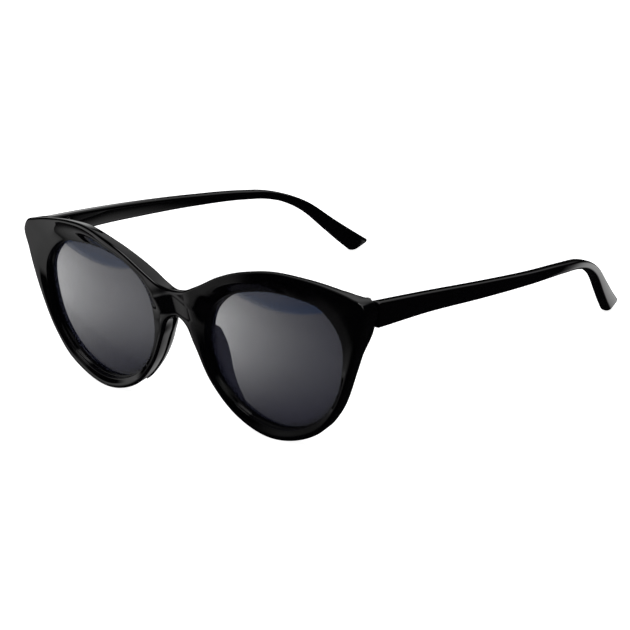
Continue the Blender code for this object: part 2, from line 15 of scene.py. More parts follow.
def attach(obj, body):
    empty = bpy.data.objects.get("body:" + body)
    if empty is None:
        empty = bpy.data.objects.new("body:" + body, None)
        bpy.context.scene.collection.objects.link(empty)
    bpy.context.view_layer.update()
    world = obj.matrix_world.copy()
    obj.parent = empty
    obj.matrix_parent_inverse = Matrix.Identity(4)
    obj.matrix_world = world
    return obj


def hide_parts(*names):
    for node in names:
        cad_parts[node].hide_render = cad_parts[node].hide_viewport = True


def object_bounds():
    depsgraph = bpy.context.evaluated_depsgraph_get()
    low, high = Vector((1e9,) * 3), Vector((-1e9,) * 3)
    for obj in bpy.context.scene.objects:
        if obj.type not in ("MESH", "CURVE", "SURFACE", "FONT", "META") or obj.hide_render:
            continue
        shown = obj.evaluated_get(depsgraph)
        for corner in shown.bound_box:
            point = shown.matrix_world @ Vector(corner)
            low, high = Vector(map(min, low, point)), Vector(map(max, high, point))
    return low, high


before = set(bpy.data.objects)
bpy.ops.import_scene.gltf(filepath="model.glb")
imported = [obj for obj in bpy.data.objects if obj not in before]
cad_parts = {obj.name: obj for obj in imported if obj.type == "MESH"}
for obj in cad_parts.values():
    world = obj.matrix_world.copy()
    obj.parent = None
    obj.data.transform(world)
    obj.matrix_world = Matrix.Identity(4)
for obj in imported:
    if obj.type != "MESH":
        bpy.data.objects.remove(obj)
CAD_LOW, CAD_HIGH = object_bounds()

MM = 0.001
SIDES = (("left", 1), ("right", -1))
STAND_TILT = math.radians(3.1)
STAND_SHIFT = (0.0, -69.65, 24.8)
SHARP_ANGLE = 40.0          # edges steeper than this many degrees stay crisp

# Front
WRAP_DEPTH = 4.4            # the front curves back by at most this much
WRAP_WIDTH = 30.0           # and by half of it at this x
LENS_X = 37.0               # middle of the left lens
RIM_DEPTH = 4.3             # thickness of the rim at the lens
FRONT_STEP = 0.8
FRONT_ROUND = 0.75          # rounding between the face and the outer wall
BACK_ROUND = 0.6
WALL_TAPER = 0.6            # how much smaller the back's outline is than the face's
BRIDGE_STEPS = 16
LIP_ROUND = 0.3             # rounding of the opening's edges
LIP_STEPS = 4
BACK_LIP_STEPS = 3
LEDGE_DEPTH = 1.35          # a small ledge half way down the wall of the opening
LEDGE_WIDE = 0.22
LEDGE_LEAD = 0.12           # the wall has its last row this far before the ledge,
LEDGE_HEEL = 0.1            # and its next one this far behind it
LEDGE_LIP = 0.08            # flat of the ledge, up to its rounded edge
LEDGE_CHAMFER = 0.03
# x, z round the opening of the left lens
OPENING = [
    (62.1, 0.0), (62.2, 10.4), (55.0, 18.1), (45.1, 19.7), (37.0, 19.8), (29.2, 18.8),
    (20.7, 16.3), (13.1, 9.9), (10.9, 0.0), (13.9, -9.6), (20.4, -16.5), (28.5, -20.5),
    (37.0, -21.7), (45.2, -19.9), (52.7, -15.7), (58.6, -9.0),
]
# x, z, y of the crest and thickness, from the bridge's top round the left rim to its underside
OUTLINE = [
    (0.0, 14.6, -2.5, 4.2), (5.4, 15.5, -2.6, 5.3), (10.8, 17.8, -2.5, 5.7),
    (20.4, 22.6, -2.6, 4.9), (28.3, 25.4, -2.4, 4.3), (38.0, 27.0, -0.8, 3.8),
    (48.0, 26.6, 1.2, 3.7), (57.0, 25.5, 2.6, 4.0), (66.5, 23.8, 3.2, 4.3),
    (70.7, 22.6, 3.2, 4.4), (72.2, 20.2, 3.2, 4.4), (70.7, 13.6, 3.1, 4.3),
    (66.3, 1.0, 2.8, 4.2), (59.4, -12.6, 2.9, 4.6), (54.3, -18.3, 2.8, 4.7),
    (48.1, -22.0, 2.6, 4.6), (34.8, -24.7, 1.6, 4.8), (21.3, -20.5, 1.0, 4.8),
    (12.0, -11.4, 0.1, 4.8), (6.6, -1.3, -0.4, 4.9), (3.6, 4.2, -0.9, 5.2),
    (0.0, 5.8, -1.0, 5.3),
]
CREST_REACH = 5.5           # the face climbs from the opening to its crest over this width,
CREST_SHARE = 0.85          # or over this share of the rim's width, if that is less
SHOULDER = 0.6              # share of the climb that is a straight ramp
SADDLE = 0.6                # how far the bridge's middle lies back
SADDLE_WIDE = 7.5
END_PIECE_X = (60.0, 64.5)  # spans over which the back swells into the end piece
END_PIECE_Z = (6.0, 14.3)
END_TOP_Z = (20.8, 24.0)    # spans over which it thins again towards the brow
END_TOP_X = (64.0, 69.0)
END_TOP_FALL = 0.7
JOINT_Y = 9.4               # where the end pieces meet the temples
FACE_ROWS = 14
REAR_ROWS = 12
ARC_STEPS = 6
ON_MIDDLE = 0.001           # an outline point this close to x = 0 is on the middle plane
SEAM_NEAR = 0.01
SEAM_MERGE = 0.005

# Lenses
LENS_FRONT = 2.4            # how far the lens's edge lies behind the rim's face
LENS_THICK = 1.6
LENS_BULGE = 0.8
LENS_SIDES = 144
LENS_RINGS = 14
LENS_SHARP = 30.0
LENS_ORIGIN_Y = 5.0
GROOVE_DEEP = 1.1
RIM_TAPER = 0.2             # how far the opening narrows towards the groove
LENS_GAP = 0.06
TINT_WIDE = 25.6            # half sizes of the lens, to which its painted light, shade and dark reflection are scaled
TINT_TALL = 20.7
TINTS_AND_PAINTED_LIGHT = {                   # logarithm of the light let through: middle, across, bow, up, dome, band. The middle is the smoke glass's own darkness; across, bow, up and dome are painted light and shade over the lens; band is a painted dark reflection under the brow
    "left": (-2.88, -1.26, 0.03, 0.68, -1.3, -1.15),
    "right": (-2.60, -0.97, 0.17, 0.55, -1.2, -2.6),
}
PAINTED_REFLECTION_LOW = 0.635            # lower edge of the painted dark reflection under the brow, at the lens's middle
PAINTED_REFLECTION_BOW = 0.3
PAINTED_REFLECTION_EDGE = 0.05
PAINTED_REFLECTION_INNER = (0.13, 0.17)   # where a lighter strip starts inside the painted dark reflection
PAINTED_REFLECTION_LIFT = 0.25

# Temples
# y, x, z and height along the left temple's middle line
TEMPLE = [
    (9.7, 69.9, 18.2, 7.6), (30.0, 71.1, 16.9, 5.9), (52.0, 71.9, 14.7, 4.9),
    (76.0, 71.2, 12.1, 3.8), (96.0, 68.6, 9.7, 3.1), (105.5, 66.6, 8.0, 2.9),
    (113.0, 64.5, 5.3, 2.9), (120.0, 62.1, 1.1, 3.4), (128.0, 58.9, -6.5, 4.6),
    (133.0, 56.8, -11.2, 5.7), (138.0, 54.8, -15.6, 6.6),
]
TEMPLE_START = TEMPLE[0][0]
TEMPLE_END = TEMPLE[-1][0]
TEMPLE_THICK = 3.8
TEMPLE_STEP = 1.5
BUTT_LONG = 12.3            # the sections turn from the joint plane to the arm over this length
BUTT_ROUND = 0.35
BUTT_STEPS = 4
TIP_SLANT = 0.6             # the tip's end leans by this much per unit of height
TIP_SLANT_Y = 126.0         # the slant begins here
TIP_ROUND = 1.3             # length of the tip's rounded end
TIP_INSET = 1.75            # how much the tip shrinks all round towards its end
TIP_STEPS = 8
CORNER = 1.1                # rounding of the arm's long edges, and of those at its tip
TIP_CORNER = 1.7
CORNER_LEAST = 0.25
CORNER_STEPS = 6
AXIS = (65.9, 11.1, 18.0)   # a point on the left hinge's axis
LEAF_POCKET = ((66.9, 8.4, 15.9), (69.2, 19.0, 20.1))

# Nose pads
# x, z along the left pad's edge beside the nose, with its depth, width and lean
PAD = [
    (4.6, 3.0, 0.9, 2.2, 0.6), (5.6, 1.2, 3.3, 3.2, 1.6), (7.3, -2.0, 4.2, 3.4, 1.8),
    (9.2, -6.0, 4.2, 3.4, 1.5), (12.3, -11.2, 3.1, 3.0, 0.8), (15.9, -15.5, 2.0, 2.5, 0.3),
    (19.4, -18.8, 1.1, 1.9, 0.1), (21.4, -20.2, 0.4, 1.4, 0.0),
]
PAD_GAP = 0.02
PAD_STEP = 0.6
PAD_SIDES = 20
PAD_SHARP = 60.0
LEAN_POWER = 1.5

# Plastic and glass. A SCALE is a noise's waves per metre, and a SPAN the part of it that counts.
POLYMER_IOR = 1.5
HAZE_SCALE = 55.0
HAZE_SPAN = (0.35, 0.7)
BLACKS = ((0.0006, 0.0006, 0.0009, 1), (0.0010, 0.0009, 0.0012, 1))
GLOSS = (0.03, 0.05)        # roughness, from clean to hazy
SCUFF_SCALE = 900.0
SCUFF_STRETCH = (1.0, 0.15, 1.0)
SCUFF_SPAN = (0.62, 0.8)
SCUFF_ROUGH = 0.03
DUST_SCALE = 2600.0
DUST_SPAN = (0.74, 0.8)
DUST_COLOUR = (0.003, 0.003, 0.0032, 1)
DUST_ROUGH = 0.1
WAVE_SCALE = 140.0
WAVE_STRENGTH = 0.02
WAVE_HEIGHT = 0.0001
GLASS_COLOUR = (0.020, 0.021, 0.036, 1)
# bluish colour of the painted dark reflection under the brow
PAINTED_REFLECTION_COLOUR = (0.018, 0.030, 0.066, 1)
STREAK_SCALE = 60.0
STREAK_STRETCH = (1.0, 1.0, 2.5)
STREAK_SPAN = (0.3, 0.7)
STREAK_CLEAR = (0.96, 1.04) # share of the light let through
SMEAR_SCALE = 70.0
SMEAR_SPAN = (0.3, 0.75)
SMEAR_ROUGH = (0.015, 0.04)

# Metal
GRAIN_SCALE = 1500.0
GRAIN_STRETCH = (1.0, 1.0, 0.06)
GRAIN_SPAN = (0.3, 0.7)
GRAIN_ROUGH = 0.14
GRAIN_STRENGTH = 0.12
GRAIN_HEIGHT = 0.00005
GRAIN_DARK = (0.8, 0.8, 0.81)       # shares of the metal's tone
GRAIN_LIGHT = (1.0, 1.0, 0.99)
STAIN_SCALE = 260.0
STAIN_SPAN = (0.55, 0.8)
STAIN_MOST = 0.4
STAIN_TONE = (0.55, 0.54, 0.52)
METALS = {                          # CAD piece: material, tone, roughness
    "front_hinge": ("hinge_brushed", 0.55, 0.24),
    "temple_hinge": ("leaf_brushed", 0.52, 0.26),
    "hinge_screw": ("screw_turned", 0.62, 0.2),
    "core_wire": ("wire_drawn", 0.45, 0.3),
}

# Studio, in metres
CAMERA_AT = (0.479515, -0.495057, 0.271120)
CAMERA_TURN = (69.12193, 4.19196, 43.18007)     # degrees
CAMERA_LENS = 132.7543                          # millimetres, and so is the sensor
CAMERA_SENSOR = 36.0
CAMERA_NEAR = 0.01
KEY_AT = (-0.3, -0.5, 1.2)
KEY_SIZE = 1.2
KEY_POWER = 5.0
FLOOR_RADIUS = 6.0
FLOOR_SIDES = 96
FLOOR_GLOW = 0.96
PANEL_AIM = (0.0, -0.06, 0.03)
PANELS = {                          # centre, size, level, width of the soft edge
    "left_panel": ((-0.24, -0.215, -0.005), (0.28, 0.19), 0.66, 0.06),
    "low_panel": ((-0.24, -0.09, -0.10), (0.26, 0.18), 0.28, 0.07),
    "pad_panel": ((-0.025, -0.005, -0.02), (0.09, 0.11), 0.62, 0.03),
    "tip_panel": ((0.065, 0.15, -0.02), (0.10, 0.10), 1.3, 0.04),
    "back_panel": ((-0.25, 0.08, 0.09), (0.16, 0.14), 0.9, 0.05),
}
FLAG_X = 0.001                      # the flag stands on the middle plane and runs forwards
FLAG_START = -0.0745
FLAG_LONG = 0.5
FLAG_TALL = 0.8
FLAG_GLOW = ((0.36, 0.5, 0.24), (0.488, 0.5, 0.22))     # from, to along the flag, level
FLAG_RISE = (-0.02, 0.035)
LOBES = [                           # azimuth, elevation, half width, half height, edge, level
    (0.0, 88.0, 14.0, 14.0, 0.3, 3.0),
    (-145.0, 40.0, 30.0, 22.0, 0.4, 0.45),
    (125.0, 58.0, 30.0, 13.0, 0.4, 1.4),
]
LOBE_POWER = 4.0                    # rounds a lobe's rectangle off
WORLD_LEVEL = 0.006


# Curves

def smooth(t):
    t = min(max(t, 0.0), 1.0)
    return t * t * (3 - 2 * t)


def rise(value, low, high):
    """0 below low, 1 above high, smooth between."""
    return smooth((value - low) / (high - low))


def hermite(a, b, tangent_a, tangent_b, t):
    return [
        (2 * t**3 - 3 * t**2 + 1) * p + (t**3 - 2 * t**2 + t) * m
        + (3 * t**2 - 2 * t**3) * q + (t**3 - t**2) * n
        for p, q, m, n in zip(a, b, tangent_a, tangent_b)
    ]


def tangent(before, at, after, gap):
    """The change over a gap of a smooth line at one of its points, from its neighbours."""
    left = math.dist(before[:2], at[:2])
    right = math.dist(at[:2], after[:2])
    rise_left = [(q - p) / left for p, q in zip(before, at)]
    rise_right = [(q - p) / right for p, q in zip(at, after)]
    return [
        gap * (right * p + left * q) / (left + right)
        for p, q in zip(rise_left, rise_right)
    ]


def beyond(end, beside):
    """The point past the end of a line that mirrors the one beside the end."""
    return [2 * a - b for a, b in zip(end, beside)]


def through(before, points, after, steps=24):
    """A smooth line through points; before and after are its neighbours beyond the ends."""
    chain = [before, *points, after]
    line = []
    for a, b, c, d in zip(chain, chain[1:], chain[2:], chain[3:]):
        gap = math.dist(b[:2], c[:2])
        start = tangent(a, b, c, gap)
        end = tangent(b, c, d, gap)
        line += [hermite(b, c, start, end, s / steps) for s in range(steps)]
    return line + [list(points[-1])]


def resample(line, step):
    """Points about one step apart along a line, its ends kept."""
    lengths = [0.0]
    for a, b in zip(line, line[1:]):
        lengths.append(lengths[-1] + math.dist(a[:2], b[:2]))
    count = max(2, round(lengths[-1] / step))
    found = []
    i = 0
    for k in range(count + 1):
        want = lengths[-1] * k / count
        while i < len(line) - 2 and lengths[i + 1] < want:
            i += 1
        t = (want - lengths[i]) / (lengths[i + 1] - lengths[i])
        found.append([p + (q - p) * t for p, q in zip(line[i], line[i + 1])])
    return found


def wrap(x):
    """How far the front's curve lies behind its middle."""
    return WRAP_DEPTH * x * x / (x * x + WRAP_WIDTH * WRAP_WIDTH)


def angle_round_lens(x, z):
    return math.atan2(z, x - LENS_X) % (2 * math.pi)


def opening_table():
    """(angle round the lens, radius of the opening), a turn and a bit."""
    closed = through(OPENING[-1], OPENING + OPENING[:1], OPENING[1])[:-1]
    table = sorted((angle_round_lens(x, z), math.hypot(x - LENS_X, z)) for x, z in closed)
    table = [(table[-1][0] - 2 * math.pi, table[-1][1])] + table
    return table + [(table[1][0] + 2 * math.pi, table[1][1])]


OPENING_TABLE = opening_table()


def radius(angle):
    """From the lens's middle to the edge of the opening."""
    for (a, p), (b, q) in zip(OPENING_TABLE, OPENING_TABLE[1:]):
        if a <= angle <= b:
            return p + (q - p) * (angle - a) / (b - a)
    return OPENING_TABLE[0][1]


# Meshes

def place():
    """From the wearer's frame in millimetres to the table in metres."""
    turn = Matrix.Rotation(-STAND_TILT, 4, "X")
    return Matrix.Scale(MM, 4) @ Matrix.Translation(STAND_SHIFT) @ turn


def finish_mesh(name, shape, sharp=SHARP_ANGLE, origin=(0.0, 0.0, 0.0)):
    """An object from a bmesh in the wearer's frame, kept inside the CAD model's box."""
    bmesh.ops.recalc_face_normals(shape, faces=shape.faces)
    shape.transform(place())
    for vert in shape.verts:
        for k in range(3):
            vert.co[k] = min(max(vert.co[k], CAD_LOW[k]), CAD_HIGH[k])
    at = Matrix.Translation(place() @ Vector(origin))
    shape.transform(at.inverted())
    mesh = bpy.data.meshes.new(name)
    shape.to_mesh(mesh)
    shape.free()
    mesh.shade_smooth()
    mesh.set_sharp_from_angle(angle=math.radians(sharp))
    made = bpy.data.objects.new(name, mesh)
    made.matrix_world = at
    bpy.context.scene.collection.objects.link(made)
    return made


def loft(rings):
    """A closed skin over rings of points, with both ends capped."""
    shape = bmesh.new()
    rows = [[shape.verts.new(p) for p in ring] for ring in rings]
    count = len(rings[0])
    for a, b in zip(rows, rows[1:]):
        for i in range(count):
            j = (i + 1) % count
            shape.faces.new((a[i], a[j], b[j], b[i]))
    shape.faces.new(rows[0])
    shape.faces.new(rows[-1])
    return shape


def arc(steps):
    """(sine, cosine) from 0 to a quarter turn."""
    turns = [math.pi / 2 * k / steps for k in range(steps + 1)]
    return [(math.sin(turn), math.cos(turn)) for turn in turns]


# Front

def swelled(flat, back):
    """The back's y, which swells out to the joint plane in the end piece."""
    swell = rise(flat.x, *END_PIECE_X) * rise(flat.y, *END_PIECE_Z)
    swell *= 1 - END_TOP_FALL * rise(flat.y, *END_TOP_Z) * (1 - rise(flat.x, *END_TOP_X))
    return back + (JOINT_Y - back) * swell


def front_rays():
    """(edge, way in, crest, depth) round the outline, then (None, point, ...) on the bridge."""
    mirrored = [(-x, *rest) for x, *rest in (OUTLINE[1], OUTLINE[-2])]
    outline = resample(through(mirrored[0], OUTLINE, mirrored[1]), FRONT_STEP)
    edge = [Vector(p[:2]) for p in outline]
    rays = []
    for i, point in enumerate(edge):
        ahead = edge[min(i + 1, len(edge) - 1)]
        along = (ahead - edge[max(i - 1, 0)]).normalized()
        inward = Vector((along.y, -along.x))
        if point.x < ON_MIDDLE:
            inward = Vector((0.0, math.copysign(1.0, inward.y)))
        rays.append((point, inward, *outline[i][2:]))
    bottom, top = [(ray[0] + ray[1] * FRONT_ROUND * 2, *ray[2:]) for ray in (rays[-1], rays[0])]
    for k in range(BRIDGE_STEPS + 1):
        t = k / BRIDGE_STEPS
        between = [p + (q - p) * t for p, q in zip(bottom[1:], top[1:])]
        rays.append((None, bottom[0].lerp(top[0], t), *between))
    return rays


def climb(distance, width):
    """Share of the face's climb to its crest: a straight ramp with a rounded shoulder."""
    t = min(1.0, distance / min(CREST_REACH, CREST_SHARE * width))
    slope = 2 / (1 + SHOULDER)
    if t < SHOULDER:
        return slope * t
    return 1 - slope / (2 * (1 - SHOULDER)) * (1 - t) ** 2


def saddle(x):
    """How far the middle of the bridge lies behind the noses of the rims."""
    return SADDLE * (0.5 + 0.5 * math.cos(math.pi * min(1.0, abs(x) / SADDLE_WIDE)))


def opening_wall(near):
    """The wall of the opening from its front lip to its back lip, with ledge and groove."""
    front = LENS_FRONT - LENS_GAP
    back = LENS_FRONT + LENS_THICK + LENS_GAP
    inner = -RIM_TAPER - LEDGE_WIDE
    rows = [near(LIP_ROUND * (1 - s), LIP_ROUND * (1 - c)) for s, c in arc(LIP_STEPS)]
    rows += [near(-RIM_TAPER / 2, LEDGE_DEPTH - LEDGE_LEAD), near(-RIM_TAPER, LEDGE_DEPTH)]
    rows += [
        near(inner + LEDGE_LIP, LEDGE_DEPTH),
        near(inner + LEDGE_CHAMFER, LEDGE_DEPTH + LEDGE_CHAMFER),
        near(inner, LEDGE_DEPTH + LEDGE_HEEL), near(inner, front),
        near(GROOVE_DEEP, (front + back) / 2), near(-RIM_TAPER, back),
    ]
    rows += [near(LIP_ROUND * (1 - c) - RIM_TAPER * c, RIM_DEPTH - LIP_ROUND * (1 - s))
             for s, c in arc(BACK_LIP_STEPS)]
    return rows


def outer_wall(edge, inward, crest, depth):
    """The rounding of the back's edge and then of the face's, up the outer wall."""
    rear_edge = edge + inward * WALL_TAPER
    last = swelled(rear_edge, crest + depth)
    side = []
    for s, c in arc(ARC_STEPS)[1:]:
        flat = rear_edge + inward * BACK_ROUND * (1 - s)
        side.append((flat.x, last - BACK_ROUND * (1 - c), flat.y))
    for s, c in arc(ARC_STEPS)[::-1][:-1]:
        flat = edge + inward * FRONT_ROUND * (1 - s)
        side.append((flat.x, crest + saddle(flat.x) + FRONT_ROUND * (1 - c), flat.y))
    return side


def front_section(ray):
    """Points round the rim's section: face, opening and back, and then the outer wall."""
    edge, inward, crest, depth = ray
    walled = edge is not None
    inset = edge + inward * FRONT_ROUND if walled else inward
    rear_inset = edge + inward * WALL_TAPER + inward * BACK_ROUND if walled else inward
    angle = angle_round_lens(*(edge or inset))
    across = Vector((math.cos(angle), math.sin(angle)))
    middle = Vector((LENS_X, 0.0))
    reach = radius(angle)

    def near_lens(s, behind):
        flat = middle + across * (reach + s)
        return (flat.x, wrap(flat.x) + behind, flat.y)

    lip = middle + across * (reach + LIP_ROUND)
    width = (inset - lip).length

    def face(f):
        flat = lip.lerp(inset, f)
        lift = (crest - wrap(inset.x)) * climb(f * width, width)
        return (flat.x, wrap(flat.x) + lift + saddle(flat.x), flat.y)

    def rear(f):
        flat = lip.lerp(rear_inset, f)
        fall = (crest + depth - wrap(rear_inset.x) - RIM_DEPTH) * (1 - (1 - f) ** 2)
        return (flat.x, swelled(flat, wrap(flat.x) + RIM_DEPTH + fall), flat.y)

    rows = [face(1 - k / FACE_ROWS) for k in range(FACE_ROWS)] + opening_wall(near_lens)
    rows += [rear(k / REAR_ROWS) for k in range(1, REAR_ROWS + 1)]
    return rows, outer_wall(*ray) if walled else []


def front():
    """Both rims and the bridge: the left half's sections, joined round, and their mirror image."""
    shape = bmesh.new()
    sections = []
    for ray in front_rays():
        rows, side = front_section(ray)
        sections.append([[shape.verts.new(p) for p in group] for group in (rows, side)])
    for a, b in zip(sections, sections[1:] + sections[:1]):
        walled = bool(a[1]) and bool(b[1])
        rows_a = a[0] + (a[1] + a[0][:1] if walled else [])
        rows_b = b[0] + (b[1] + b[0][:1] if walled else [])
        for i in range(len(rows_a) - 1):
            shape.faces.new((rows_a[i], rows_a[i + 1], rows_b[i + 1], rows_b[i]))
    half = shape.verts[:] + shape.edges[:] + shape.faces[:]
    other = bmesh.ops.duplicate(shape, geom=half)["geom"]
    moved = [part for part in other if isinstance(part, bmesh.types.BMVert)]
    bmesh.ops.transform(shape, matrix=Matrix.Diagonal((-1, 1, 1, 1)), verts=moved)
    seam = [vert for vert in shape.verts if abs(vert.co.x) < SEAM_NEAR]
    bmesh.ops.remove_doubles(shape, verts=seam, dist=SEAM_MERGE)
    return finish_mesh("front_shell", shape)


# Lenses and nose pads

def lens(name, side):
    """A curved lens whose bevelled edge sits in the groove."""
    rim = -RIM_TAPER - LEDGE_WIDE - LENS_GAP
    shares = [k / LENS_RINGS for k in range(1, LENS_RINGS + 1)]

    def ring(depth, grow, share):
        points = []
        for k in range(LENS_SIDES):
            angle = 2 * math.pi * k / LENS_SIDES
            reach = (radius(angle) + grow) * share
            x = LENS_X + reach * math.cos(angle)
            behind = depth - LENS_BULGE * (1 - share * share)
            points.append((side * x, wrap(x) + behind, reach * math.sin(angle)))
        return points

    back = LENS_FRONT + LENS_THICK
    rings = [ring(LENS_FRONT, rim, s) for s in shares]
    rings.append(ring((LENS_FRONT + back) / 2, GROOVE_DEEP - 2 * LENS_GAP, 1.0))
    rings += [ring(back, rim, s) for s in reversed(shares)]
    origin = (side * LENS_X, LENS_ORIGIN_Y, 0.0)
    return finish_mesh("lens_glass_" + name, loft(rings), LENS_SHARP, origin)


def nose_pad(name, side):
    """A rounded ridge on the back of the rim beside the nose."""
    line = through(beyond(PAD[0], PAD[1]), PAD, beyond(PAD[-1], PAD[-2]))
    stations = resample(line, PAD_STEP)
    rings = []
    for i, (x, z, deep, wide, lean) in enumerate(stations):
        ahead = stations[min(i + 1, len(stations) - 1)]
        behind = stations[max(i - 1, 0)]
        along = Vector((ahead[0] - behind[0], ahead[1] - behind[1])).normalized()
        out = Vector((-along.y, along.x))
        ring = []
        for k in range(PAD_SIDES + 1):
            turn = math.pi * k / PAD_SIDES
            s = wide / 2 * (1 - math.cos(turn)) + lean * math.sin(turn) ** LEAN_POWER
            px = x + out.x * s
            pz = z + out.y * s
            base = wrap(px) + RIM_DEPTH + PAD_GAP
            ring.append((side * px, base + deep * math.sin(turn), pz))
        rings.append(ring)
    return finish_mesh("nose_ridge_" + name, loft(rings), PAD_SHARP)


# Temples

def temple_frames():
    """(centre, along, across, up, height) of the left temple's sections."""
    line = through(beyond(TEMPLE[0], TEMPLE[1]), TEMPLE, beyond(TEMPLE[-1], TEMPLE[-2]))
    stations = resample(line, TEMPLE_STEP)
    frames = []
    for i, (y, x, z, height) in enumerate(stations):
        a = stations[max(i - 1, 0)]
        b = stations[min(i + 1, len(stations) - 1)]
        square = rise(y, TEMPLE_START, TEMPLE_START + BUTT_LONG)
        along = Vector(((b[1] - a[1]) * square, b[0] - a[0], (b[2] - a[2]) * square)).normalized()
        up = Vector((0, -along.z, along.y)).normalized()
        frames.append((Vector((x, y, z)), along, along.cross(up).normalized(), up, height))
    return frames


def temple_ring(station, inset, along_by, slant):
    """A section with rounded corners, shrunk by inset, moved along and slanted."""
    centre, along, across, up, height = station
    corner = CORNER + (TIP_CORNER - CORNER) * rise(centre.y, TIP_SLANT_Y, TEMPLE_END)
    corner = max(corner - inset, CORNER_LEAST)
    width = TEMPLE_THICK - 2 * inset
    ring = []
    for k, (sx, sz) in enumerate(((1, 1), (-1, 1), (-1, -1), (1, -1))):
        for j in range(CORNER_STEPS + 1):
            turn = math.pi / 2 * (k + j / CORNER_STEPS)
            s = sx * (width / 2 - corner) + corner * math.cos(turn)
            v = sz * (height / 2 - inset - corner) + corner * math.sin(turn)
            ring.append(centre + across * s + up * v + along * (along_by + slant * v))
    return ring


def temple_skin():
    """The left temple, with its butt's edge and its tip rounded."""
    frames = temple_frames()
    rings = [
        temple_ring(frames[0], BUTT_ROUND * (1 - s), BUTT_ROUND * (1 - c), 0.0)
        for s, c in arc(BUTT_STEPS)
    ]
    for station in frames[1:]:
        slant = TIP_SLANT * rise(station[0].y, TIP_SLANT_Y, TEMPLE_END)
        rings.append(temple_ring(station, 0.0, 0.0, slant))
    for s, c in arc(TIP_STEPS)[1:]:
        rings.append(temple_ring(frames[-1], TIP_INSET * (1 - c), TIP_ROUND * s, TIP_SLANT))
    return loft(rings)


def temple(name, side):
    """An arm with its origin on the hinge's axis and a pocket for the leaf."""
    shape = temple_skin()
    shape.transform(Matrix.Diagonal((side, 1, 1, 1)))
    origin = (side * AXIS[0], *AXIS[1:])
    made = finish_mesh("temple_arm_" + name, shape, origin=origin)
    low, high = [Vector(corner) for corner in LEAF_POCKET]
    size = high - low
    centre = (low + high) / 2
    pocket = bmesh.new()
    at = Matrix.Translation((side * centre.x, centre.y, centre.z)) @ Matrix.Diagonal((*size, 1))
    bmesh.ops.create_cube(pocket, size=1.0, matrix=at)
    carve(made, finish_mesh("leaf_pocket_" + name, pocket))
    return made


def carve(target, cutter):
    """Cuts cutter out of target and removes cutter."""
    modifier = target.modifiers.new("carve", "BOOLEAN")
    modifier.operation = "DIFFERENCE"
    modifier.solver = "EXACT"
    modifier.object = cutter
    bpy.context.view_layer.update()
    seen = target.evaluated_get(bpy.context.evaluated_depsgraph_get())
    mesh = bpy.data.meshes.new_from_object(seen)
    target.modifiers.clear()
    target.data = mesh
    bpy.data.objects.remove(cutter)


# Nodes and materials

class Nodes:
    """Adds nodes to a tree, fed by numbers or by other nodes."""

    def __init__(self, tree):
        self.tree = tree

    def add(self, kind, inputs, out=0, **settings):
        made = self.tree.nodes.new("ShaderNode" + kind)
        for key, value in settings.items():
            setattr(made, key, value)
        for key, value in inputs.items():
            self.feed(made.inputs[key], value)
        return made.outputs[out]

    def feed(self, socket, value):
        if isinstance(value, bpy.types.NodeSocket):
            self.tree.links.new(value, socket)
        else:
            socket.default_value = value

    def math(self, operation, a, b=0.0):
        return self.add("Math", {0: a, 1: b}, operation=operation)

    def spread(self, value, span, low=0.0, high=1.0):
        """Smoothly from low to high while value crosses the span."""
        inputs = {"Value": value, "From Min": span[0], "From Max": span[1], "To Min": low,
                  "To Max": high}
        return self.add("MapRange", inputs, interpolation_type="SMOOTHSTEP")

    def dot(self, way, vector):
        return self.add("VectorMath", {0: way, 1: vector}, out=1, operation="DOT_PRODUCT")


class Paint(Nodes):
    """A material whose Principled shader is fed by nodes."""

    def __init__(self, name, **values):
        self.material = bpy.data.materials.new(name)
        self.material.use_nodes = True
        super().__init__(self.material.node_tree)
        self.shader = self.tree.nodes["Principled BSDF"]
        for key, value in values.items():
            self.shader.inputs[key.replace("_", " ")].default_value = value

    def drive(self, name, value):
        self.feed(self.shader.inputs[name], value)

    def place(self):
        """The point's own x, y and z in its object, as three outputs."""
        point = self.add("TexCoord", {}, out=3)
        return self.add("SeparateXYZ", {"Vector": point}).node.outputs

    def noise(self, scale, detail, stretch=(1.0, 1.0, 1.0)):
        place_at = self.add("TexCoord", {}, out=3)
        mapped = self.add("Mapping", {"Vector": place_at, "Scale": stretch})
        inputs = {"Vector": mapped, "Scale": scale, "Detail": detail}
        return self.add("TexNoise", inputs)

    def blend(self, factor, a, b):
        inputs = {0: factor, 6: a, 7: b}
        return self.add("Mix", inputs, out=2, data_type="RGBA")


def black_plastic():
    """Polished injection-moulded plastic with faint flow waves, handling haze and dust."""
    paint = Paint("moulded_black", IOR=POLYMER_IOR, Specular_IOR_Level=0.5)
    haze = paint.noise(HAZE_SCALE, detail=3.0)
    scuff = paint.noise(SCUFF_SCALE, detail=4.0, stretch=SCUFF_STRETCH)
    dust = paint.spread(paint.noise(DUST_SCALE, detail=1.0), DUST_SPAN)
    base = paint.blend(haze, *BLACKS)
    paint.drive("Base Color", paint.blend(dust, base, DUST_COLOUR))
    rough = paint.spread(haze, HAZE_SPAN, *GLOSS)
    rough = paint.math("ADD", rough, paint.spread(scuff, SCUFF_SPAN, 0.0, SCUFF_ROUGH))
    rough = paint.math("ADD", rough, paint.math("MULTIPLY", dust, DUST_ROUGH))
    paint.drive("Roughness", rough)
    wave = {"Height": paint.noise(WAVE_SCALE, detail=1.0), "Strength": WAVE_STRENGTH,
            "Distance": WAVE_HEIGHT}
    paint.drive("Normal", paint.add("Bump", wave))
    return paint.material


def painted_brow_reflection(paint, bent, high):
    """1 in the painted dark reflection under the brow, 0 below it, with a lighter strip inside."""
    edge = paint.math("ADD", paint.math("MULTIPLY", bent, PAINTED_REFLECTION_BOW), PAINTED_REFLECTION_LOW)
    over = paint.math("SUBTRACT", high, edge)
    inner = paint.spread(over, PAINTED_REFLECTION_INNER, 0.0, PAINTED_REFLECTION_LIFT)
    return paint.math("SUBTRACT", paint.spread(over, (0.0, PAINTED_REFLECTION_EDGE)), inner)


